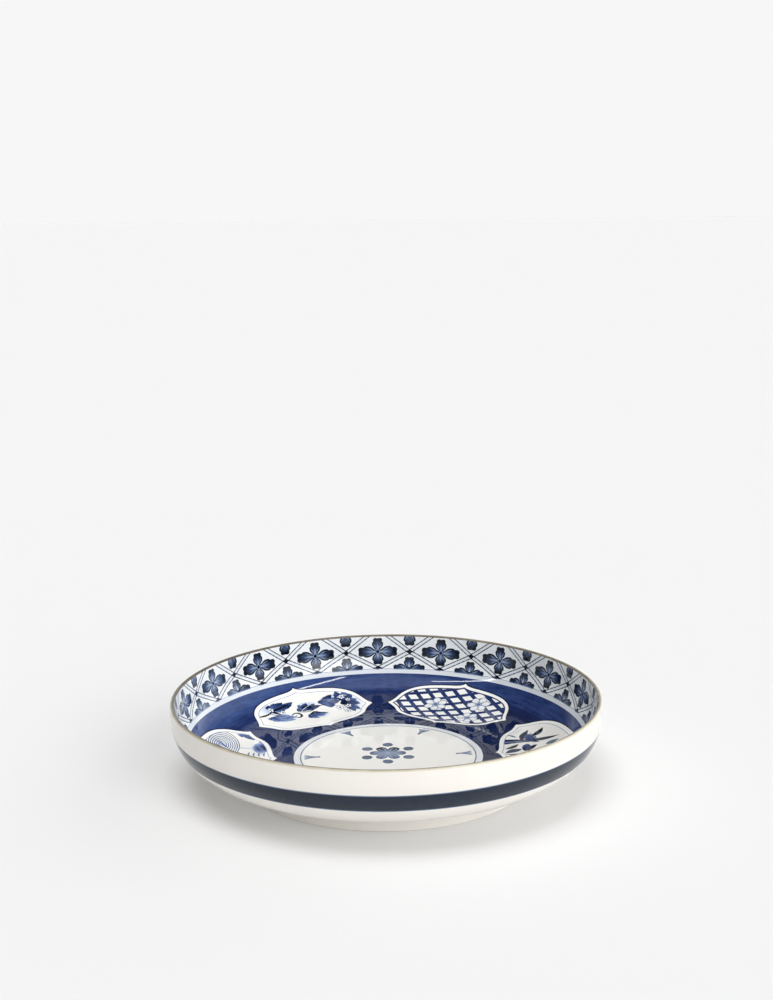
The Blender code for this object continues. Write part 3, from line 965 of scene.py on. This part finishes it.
def medallion_canvas():
    """A white disc, set a little off the bowl's centre, with a thin ring, fans and a stamped flower."""
    canvas = Canvas(oval((0.0, 0.0), MEDALLION_EDGE, pieces=PANELS * EDGE_STEPS), (0.85, 1.0))
    middle = (-0.85, 0.2)
    canvas.paint(oval(middle, 55.6, pieces=240), (0.09, 0.4))
    canvas.paint(oval(middle, 51.9, pieces=220), (0.52, 0.15))
    field = canvas.paint(oval(middle, 51.15, pieces=220), CREAM)
    tilt = math.radians(-2.5)
    for number in range(PANELS):
        angle = tilt + TAU * number / PANELS
        fan = [(49.0, 4.2), (49.6, 2.0), (49.2, 0.0), (49.6, -2.0), (49.0, -4.2), (46.0, -2.0), (43.0, -0.95),
               (40.2, -0.8), (39.6, 0.0), (40.2, 0.8), (43.0, 0.95), (46.0, 2.0)]
        wide, narrow = placed([(49.5, 0.0), (41.0, 0.0)], middle, angle)
        canvas.paint(placed(fan, middle, angle), (fade(wide, narrow, 0.22, 0.8), 0.2), field)
        for across in (-2.4, 0.0, 2.4):
            rib = [(41.6, across * 0.12), (45.4, across * 0.5), (48.8, across * 1.3)]
            canvas.paint(placed(stroke(rib, (0.7, 0.6, 0.4), 3), middle, angle), (0.5, 0.25), field)
    heart = (-0.6, 3.8)
    petal = [(1.0, 0.5), (3.0, 2.0), (5.6, 3.1), (8.2, 3.2), (10.2, 2.0), (10.8, 0.0), (10.2, -2.0),
             (8.2, -3.2), (5.6, -3.1), (3.0, -2.0), (1.0, -0.5)]
    for number in range(PANELS):
        angle = TAU * number / PANELS
        rear = math.sin(angle) > 0.5
        strength = 0.92 if rear else 0.58
        root, tip = placed([(2.0, 0.0), (9.0, 0.0)], heart, angle)
        outline = placed(smooth(petal, pieces=3), heart, angle)
        canvas.paint(outline, (fade(root, tip, 0.4, strength), 0.2), field)
        for side in (-1.0, 1.0):
            vein = [(3.0, 0.5 * side), (6.0, 1.5 * side), (8.6, 1.4 * side)]
            canvas.paint(placed(stroke(vein, (0.2, 0.6, 0.3), 3), heart, angle), (0.3, 0.6), field)
        spot = placed([(14.1, 0.0)], heart, angle + math.pi / PANELS)[0]
        strength = 0.44 + 0.14 * random.random()
        shades = pool(spot, 3.0, strength, strength + 0.12)
        canvas.paint(oval(spot, 3.3, 3.1, angle, 18), (shades, 0.12), field)
    canvas.paint(oval(heart, 1.5), (0.34, 0.5), field)
    return canvas


# ---- Materials ----

def linear(red, green, blue):
    """A colour given from 0 to 255 as the screen shows it."""
    channels = []
    for value in (red, green, blue):
        share = value / 255.0
        channels.append(share / 12.92 if share <= 0.04045 else ((share + 0.055) / 1.055) ** 2.4)
    return (*channels, 1.0)


def node(tree, kind, **inputs):
    made = tree.nodes.new(kind)
    for name, value in inputs.items():
        made.inputs[name].default_value = value
    return made


def noise(tree, vector, scale, detail=3.0, roughness=0.55):
    made = node(tree, "ShaderNodeTexNoise", Scale=scale, Detail=detail, Roughness=roughness)
    tree.links.new(vector, made.inputs["Vector"])
    return made.outputs["Fac"]


def feed(tree, socket, value):
    """Set a socket to a constant, or link another node's output to it."""
    if isinstance(value, (float, tuple)):
        socket.default_value = value
    else:
        tree.links.new(value, socket)


def attribute(tree, name, output="Fac"):
    """What the mesh carries under a name."""
    made = tree.nodes.new("ShaderNodeAttribute")
    made.attribute_name = name
    return made.outputs[output]


def maths(tree, operation, first, second, clamp=False):
    made = tree.nodes.new("ShaderNodeMath")
    made.operation = operation
    made.use_clamp = clamp
    for socket, value in zip(made.inputs, (first, second)):
        feed(tree, socket, value)
    return made.outputs[0]


def spread(tree, value, low, high, start=0.0, end=1.0, curve="LINEAR"):
    """A value between start and end, mapped to between low and high."""
    made = tree.nodes.new("ShaderNodeMapRange")
    made.interpolation_type = curve
    for label, number in (("From Min", start), ("From Max", end), ("To Min", low), ("To Max", high)):
        made.inputs[label].default_value = number
    tree.links.new(value, made.inputs["Value"])
    return made.outputs[0]


def varied(tree, value, unevenness, amount):
    """A value made larger and smaller by up to an amount of itself."""
    return maths(tree, "MULTIPLY", value, spread(tree, unevenness, 1.0 - amount, 1.0 + amount))


def ramp(tree, value, stops):
    made = tree.nodes.new("ShaderNodeValToRGB")
    elements = made.color_ramp.elements
    while len(elements) < len(stops):
        elements.new(0.5)
    for element, (place, colour) in zip(elements, stops):
        element.position = place
        element.color = colour
    tree.links.new(value, made.inputs["Fac"])
    return made.outputs["Color"]


def mix(tree, share, first, second):
    made = tree.nodes.new("ShaderNodeMix")
    made.data_type = "RGBA"
    for index, value in ((0, share), (6, first), (7, second)):
        feed(tree, made.inputs[index], value)
    return made.outputs[2]


def new_material(name):
    """A material, its nodes and its main shader."""
    material = bpy.data.materials.new(name)
    material.use_nodes = True
    return material, material.node_tree, material.node_tree.nodes["Principled BSDF"]


def shader(name, roughness):
    """A glossy material with the faint unevenness of fired glaze."""
    material, tree, principled = new_material(name)
    principled.inputs["IOR"].default_value = 1.4
    place = tree.nodes.new("ShaderNodeTexCoord").outputs["Object"]
    gloss = spread(tree, noise(tree, place, 90.0, 4.0), roughness * 0.75, roughness * 1.35)
    tree.links.new(gloss, principled.inputs["Roughness"])
    relief = node(tree, "ShaderNodeBump", Strength=0.012, Distance=0.001)
    tree.links.new(noise(tree, place, 260.0, 2.0), relief.inputs["Height"])
    tree.links.new(relief.outputs["Normal"], principled.inputs["Normal"])
    return material, tree, principled, place


INK_STOPS = (
    (0.0, linear(243, 241, 235)), (0.16, linear(206, 210, 213)), (0.36, linear(142, 154, 170)),
    (0.58, linear(82, 98, 120)), (0.8, linear(32, 47, 64)), (1.0, linear(9, 17, 25)))
BLUE_STOPS = (
    (0.0, linear(244, 246, 246)), (0.16, linear(206, 215, 231)), (0.36, linear(132, 152, 196)),
    (0.58, linear(64, 87, 140)), (0.8, linear(25, 41, 88)), (1.0, linear(9, 15, 40)))


def painted_glaze(name, watery=0.22, streaks=0.0, clouds=0.0):
    """Cobalt under a clear glaze: the painted strength, varied as a wash pools and thins."""
    material, tree, principled, place = shader(name, 0.035)
    value = varied(tree, attribute(tree, "cobalt"), noise(tree, place, 210.0, 4.0, 0.6), watery)
    if streaks:
        sweep = node(tree, "ShaderNodeMapping", Scale=(7.0, 7.0, 0.55))
        tree.links.new(attribute(tree, "brush", "Vector"), sweep.inputs["Vector"])
        value = varied(tree, value, noise(tree, sweep.outputs[0], 1.0, 5.0, 0.62), streaks)
        value = varied(tree, value, noise(tree, place, 55.0, 3.0), clouds)
    value = maths(tree, "MINIMUM", value, 1.0, clamp=True)
    ink, blue = ramp(tree, value, INK_STOPS), ramp(tree, value, BLUE_STOPS)
    colour = mix(tree, attribute(tree, "tint"), ink, blue)
    tree.links.new(colour, principled.inputs["Base Color"])
    return material


def white_porcelain(name):
    """Warm white glaze, bluer in the line inside, and bare clay at the foot's standing edge."""
    material, tree, principled, place = shader(name, 0.06)
    cloud = noise(tree, place, 35.0, 4.0)
    glaze = mix(tree, cloud, linear(230, 226, 219), linear(235, 232, 226))
    height = node(tree, "ShaderNodeSeparateXYZ")
    tree.links.new(place, height.inputs[0])
    ragged = spread(tree, noise(tree, place, 420.0, 3.0), 0.0001, 0.0005)
    bare = maths(tree, "LESS_THAN", height.outputs["Z"], ragged)
    glaze = mix(tree, attribute(tree, "cobalt"), glaze, linear(214, 219, 225))
    clay = mix(tree, noise(tree, place, 1600.0, 2.0), linear(214, 200, 180), linear(232, 222, 206))
    tree.links.new(mix(tree, bare, glaze, clay), principled.inputs["Base Color"])
    gloss = principled.inputs["Roughness"].links[0].from_socket
    dull = maths(tree, "MAXIMUM", gloss, maths(tree, "MULTIPLY", bare, 0.7))
    tree.links.new(dull, principled.inputs["Roughness"])
    return material


def iron_lip(name):
    """Iron-brown edging, paler where it is thin, and painted paler on the right-hand and rear sides as a
    painted highlight where the light falls.
    """
    material, tree, principled, place = shader(name, 0.22)
    uneven = spread(tree, noise(tree, place, 130.0, 5.0, 0.65), 0.55, 1.3)
    # Painted highlight: the brown is thinned towards the right-hand and rear sides, where the light falls on
    # the lip.
    painted_highlight_side = tree.nodes.new("ShaderNodeVectorMath")
    painted_highlight_side.operation = "DOT_PRODUCT"
    painted_highlight_side.inputs[1].default_value = (-0.17, -0.06, 0.0)
    tree.links.new(attribute(tree, "brush", "Vector"), painted_highlight_side.inputs[0])
    kept = maths(tree, "ADD", painted_highlight_side.outputs["Value"], 0.82)
    value = maths(tree, "MULTIPLY", attribute(tree, "cobalt"), uneven)
    value = maths(tree, "MULTIPLY", value, kept, clamp=True)
    stops = ((0.0, linear(234, 229, 216)), (0.3, linear(176, 168, 148)), (0.6, linear(112, 104, 90)),
             (1.0, linear(56, 50, 44)))
    tree.links.new(ramp(tree, value, stops), principled.inputs["Base Color"])
    return material


def floor_material():
    """Matt white, glowing a little so that shadows on it stay soft."""
    material, _, principled = new_material("studio_floor")
    looks = {
        "Base Color": (FLOOR_ALBEDO, FLOOR_ALBEDO, FLOOR_ALBEDO, 1.0), "Roughness": 1.0,
        "Specular IOR Level": 0.0, "Emission Color": (1.0, 1.0, 1.0, 1.0),
        "Emission Strength": FLOOR_GLOW,
    }
    for label, value in looks.items():
        principled.inputs[label].default_value = value
    return material


# ---- Turned pieces ----

def make_body():
    """The white body, cut back under the painted skins and flush at the white line."""
    slope_z = COVE_Z - COVE_RADIUS * math.cos(UNDERSIDE_SLOPE)
    slope_r = COVE_CENTRE + COVE_RADIUS * math.sin(UNDERSIDE_SLOPE)
    seat = slope_r - (slope_z - UNDERSIDE_Z) / math.tan(UNDERSIDE_SLOPE)
    lip_radius = float(inner_profile(BORDER_TOP)[0])
    runs = [
        inner_run(0.0, LINE_START, BED, 2.0),
        inner_run(LINE_START, LINE_END),
        inner_run(LINE_END, BORDER_TOP, BED, 2.0),
        straight_run((lip_radius, LIP_BASE), (RIM - 0.05, LIP_BASE)),
        straight_run((RIM, LIP_BASE), (RIM, COVE_Z), 3),
        outer_run(COVE_Z, BAND_TOP + BAND_FADE),
        outer_run(BAND_TOP + BAND_FADE, BAND_BOTTOM - BAND_FADE, BED),
        outer_run(BAND_BOTTOM - BAND_FADE, slope_z),
        straight_run((slope_r, slope_z), (seat, UNDERSIDE_Z), 6),
        straight_run((seat, UNDERSIDE_Z), (0.0, UNDERSIDE_Z), 12),
    ]
    only_the_line = [1.0 if index == 1 else 0.0 for index in range(len(runs))]
    return turned("porcelain_body", runs, only_the_line)


def make_foot():
    """The foot ring, flared into the underside and rounded where it stands."""
    top = UNDERSIDE_Z + 0.1
    outer, inner = FOOT_OUTER - 1.0, FOOT_OUTER - 5.5
    rounding, flare, batter = 0.9, 2.2, 0.2
    shoulder = top - flare
    runs = [
        arc_run((outer + 2.4, shoulder), flare, math.pi * 0.5, math.pi, 6, -1.0),
        straight_run((outer + batter, shoulder), (outer, rounding), 3),
        arc_run((outer - rounding, rounding), rounding, 0.0, -math.pi / 2, 6),
        straight_run((outer - rounding, 0.0), (inner + rounding, 0.0)),
        arc_run((inner + rounding, rounding), rounding, -math.pi / 2, -math.pi, 6),
        straight_run((inner, rounding), (inner - batter, shoulder), 3),
        arc_run((inner - 2.4, shoulder), flare, 0.0, math.pi * 0.5, 6, -1.0),
    ]
    return turned("glazed_foot_ring", runs)


def make_lip():
    """The rounded lip: brown on top and inside, thinning down the outside."""
    radius = float(inner_profile(BORDER_TOP)[0])
    half = (RIM - radius) / 2.0
    crown = HEIGHT - half
    centre = (RIM - half, crown)
    runs = [
        straight_run((radius, LIP_BASE), (radius, crown), 2),
        arc_run(centre, half, math.pi, 0.0, 16),
        straight_run((RIM, crown), (RIM, LIP_BASE), 2),
        straight_run((RIM, LIP_BASE), (radius, LIP_BASE)),
    ]

    def brown(x, z):
        across = (x - radius) / (RIM - radius)
        return max(0.0, 0.95 - 0.8 * across ** 1.5) if z > LIP_BASE + 0.05 else 0.45 * (1.0 - across)
    return turned("iron_lip_edging", runs, [brown] * len(runs))


def make_band():
    """The dark band, its edges thinning to a blue haze."""
    high, low = BAND_TOP + BAND_FADE, BAND_BOTTOM - BAND_FADE

    def dark(_, z):
        return 0.9 * min(1.0, max(0.0, min(high - z, z - low) / (2.2 * BAND_FADE)))
    front = outer_run(high, low, spacing=0.45)
    back = [(x, z, -out, -up) for x, z, out, up in reversed(outer_run(high, low, SKIN))]
    return turned("indigo_outer_band", [front, back], [dark, 0.0], 0.1)


# ---- Studio ----

CAMERA_DISTANCE = 0.84508
CAMERA_HEIGHT = 0.32569
CAMERA_PITCH = math.radians(10.801)
CAMERA_YAW = math.radians(0.098)
CAMERA_ROLL = math.radians(-0.634)
SENSOR = 36.0
LENS = 1.51107 * SENSOR
BACKDROP = 0.93
FLOOR_ALBEDO = 0.725
FLOOR_GLOW = 0.12


def make_camera():
    """A camera in front of the bowl, looking down on it."""
    pitch, yaw, roll = CAMERA_PITCH, CAMERA_YAW, CAMERA_ROLL
    ahead = Vector((math.sin(yaw) * math.cos(pitch), math.cos(yaw) * math.cos(pitch), -math.sin(pitch)))
    right = ahead.cross(Vector((0.0, 0.0, 1.0))).normalized()
    up = right.cross(ahead)
    across = math.cos(roll) * right + math.sin(roll) * up
    upright = math.cos(roll) * up - math.sin(roll) * right
    data = bpy.data.cameras.new("camera")
    data.lens = LENS
    data.sensor_width = SENSOR
    data.clip_start = 0.01
    camera = new_object("camera", data)
    matrix = camera.matrix_world
    for row in range(3):
        matrix[row][0], matrix[row][1], matrix[row][2] = across[row], upright[row], -ahead[row]
    matrix.translation = Vector((0.0, -CAMERA_DISTANCE, CAMERA_HEIGHT))
    camera.matrix_world = matrix
    bpy.context.scene.camera = camera


def make_floor():
    """A floor that reaches far past what the camera sees, in metres."""
    reach = 60.0
    corners = [(x * reach, y * reach, 0.0) for x, y in ((-1, -1), (1, -1), (1, 1), (-1, 1))]
    mesh = bpy.data.meshes.new("floor")
    mesh.from_pydata(corners, [], [(0, 1, 2, 3)])
    mesh.materials.append(floor_material())
    floor = new_object("floor", mesh)
    floor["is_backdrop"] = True


def softbox(name, direction, distance, size, radiance):
    """A rectangular strip that shows only as a streak in the glaze."""
    data = bpy.data.lights.new(name, "AREA")
    data.shape = "RECTANGLE"
    data.size, data.size_y = size
    data.energy = radiance * math.pi * size[0] * size[1]
    light = new_object(name, data)
    way = Vector(direction).normalized()
    light.location = way * distance
    light.rotation_mode = "QUATERNION"
    light.rotation_quaternion = way.to_track_quat("Z", "Y")
    light.visible_camera = False
    light.visible_diffuse = False


def make_room():
    """A pale horizon, a dim room, a bright ceiling, and a window on the right."""
    world = bpy.data.worlds.new("studio")
    world.use_nodes = True
    tree = world.node_tree
    background = tree.nodes["Background"]
    background.inputs["Color"].default_value = (1.0, 1.0, 1.0, 1.0)
    split = tree.nodes.new("ShaderNodeSeparateXYZ")
    tree.links.new(tree.nodes.new("ShaderNodeTexCoord").outputs["Generated"], split.inputs[0])
    across, up = split.outputs["X"], split.outputs["Z"]
    levels = ((0.0, BACKDROP), (0.27, BACKDROP), (0.42, 0.07), (0.87, 0.07), (0.96, 1.1), (1.0, 1.1))
    room = ramp(tree, up, [(place, (level, level, level, 1.0)) for place, level in levels])
    window = spread(tree, across, 0.0, 0.95, 0.3, 0.65, "SMOOTHSTEP")
    below_its_head = spread(tree, up, 0.0, 1.0, 0.85, 0.65)
    window = maths(tree, "MULTIPLY", window, below_its_head)
    dimmer_left = spread(tree, across, 1.0, 0.6, -0.3, -0.75, "SMOOTHSTEP")
    room = maths(tree, "MULTIPLY", room, dimmer_left)
    tree.links.new(maths(tree, "ADD", room, window), background.inputs["Strength"])
    bpy.context.scene.world = world


def soft_sun(name, direction, angle, strength):
    """A disc of light too far off to fall away across the floor."""
    data = bpy.data.lights.new(name, "SUN")
    data.energy = strength
    data.angle = math.radians(angle)
    light = new_object(name, data)
    light.rotation_euler = Vector(direction).to_track_quat("Z", "Y").to_euler()
    return light


def make_lights():
    make_room()
    soft_sun("front_right_softbox", (0.5, -0.74, 0.45), 34.0, 1.2)
    overhead = soft_sun("overhead_key", (-0.12, -0.2, 0.97), 38.0, 1.45)
    overhead.visible_glossy = False
    softbox("ceiling_strip_right", (0.36, -0.09, 0.93), 4.0, (2.0, 0.16), 24.0)
    softbox("ceiling_strip_left", (-0.53, -0.1, 0.84), 4.0, (0.16, 2.6), 20.0)


# ---- Assembly ----

def put(piece, material, slot, *nodes):
    """Finish a piece: its material, its body and the CAD nodes that it replaces. The slot is not used."""
    piece.data.materials.append(material)
    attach(piece, "root")
    if nodes:
        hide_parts(*nodes)


def make_painting():
    """The painted skins: the border's repeats, the ground, the six panels and the medallion."""
    border = painted_glaze("border_painting")
    flat, faces, strength, blue = border_canvas().cut(BORDER_GRID)
    patches = []
    for number in range(SECTORS):
        thinner = 0.78 if number in THIN_SECTORS else random.uniform(0.92, 1.04)
        wrap = strip_wrap(SECTOR_TURN + TAU * number / SECTORS)
        patches.append(((flat, faces, strength * thinner, blue), wrap))
    put(skin_piece("wall_border_painting", patches), border, "border_blue", "wall_border")

    outline = panel_outline()
    canvas = ground_canvas()
    canvas.paint(outline, WHITE)
    flat, faces, strength, blue = without(canvas.cut(GROUND_GRID), outline)
    patches = []
    for number in range(PANELS):
        wrap = disc_wrap(PANEL_TURN + TAU * number / PANELS)
        turns, _ = wrap(*flat[faces.ravel()].T)
        # Painted shade: the ground's blue is made deeper towards the right-rear side, which lies in shade.
        painted_shade = 1.0 + 0.06 * np.cos(turns - PAINTED_SHADE_SIDE)
        patches.append(((flat, faces, strength * painted_shade, blue), wrap))
    ground = painted_glaze("cobalt_ground", 0.08, streaks=0.2, clouds=0.12)
    put(skin_piece("cobalt_ground_wash", patches), ground, "cobalt_ground", "blue_ground")

    panels = painted_glaze("panel_painting", 0.16)
    makers = (
        ("panel_reeds", reeds_panel), ("panel_lattice_blossom", lattice_blossom_panel),
        ("panel_leaf_spray", leaf_spray_panel), ("panel_roundel", roundel_panel),
        ("panel_waves", waves_panel), ("panel_grasses", grasses_panel),
    )
    for number, (name, make) in enumerate(makers):
        patch = (make().cut(PANEL_GRID), disc_wrap(PANEL_TURN + TAU * number / PANELS))
        put(skin_piece(name + "_painting", [patch]), panels, "panel_blue_white", name)

    medallion = painted_glaze("medallion_painting", 0.12)
    patch = (medallion_canvas().cut(MEDALLION_GRID), disc_wrap(math.radians(90.0)))
    put(skin_piece("medallion_painting", [patch]), medallion, "medallion_white", "centre_medallion")


def main():
    bpy.context.scene.view_settings.view_transform = "Standard"
    make_camera()
    make_floor()
    make_lights()
    porcelain = white_porcelain("white_porcelain")
    put(make_body(), porcelain, "porcelain", "bowl_body")
    put(make_foot(), porcelain, "porcelain", "foot_ring")
    put(make_lip(), iron_lip("iron_edging"), "iron_lip", "lip_edging")
    put(make_band(), painted_glaze("indigo_band", 0.05), "indigo_band", "outer_band")
    make_painting()
    low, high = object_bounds()
    sizes = {"cad": [list(CAD_LOW), list(CAD_HIGH)], "visual": [list(low), list(high)]}


main()
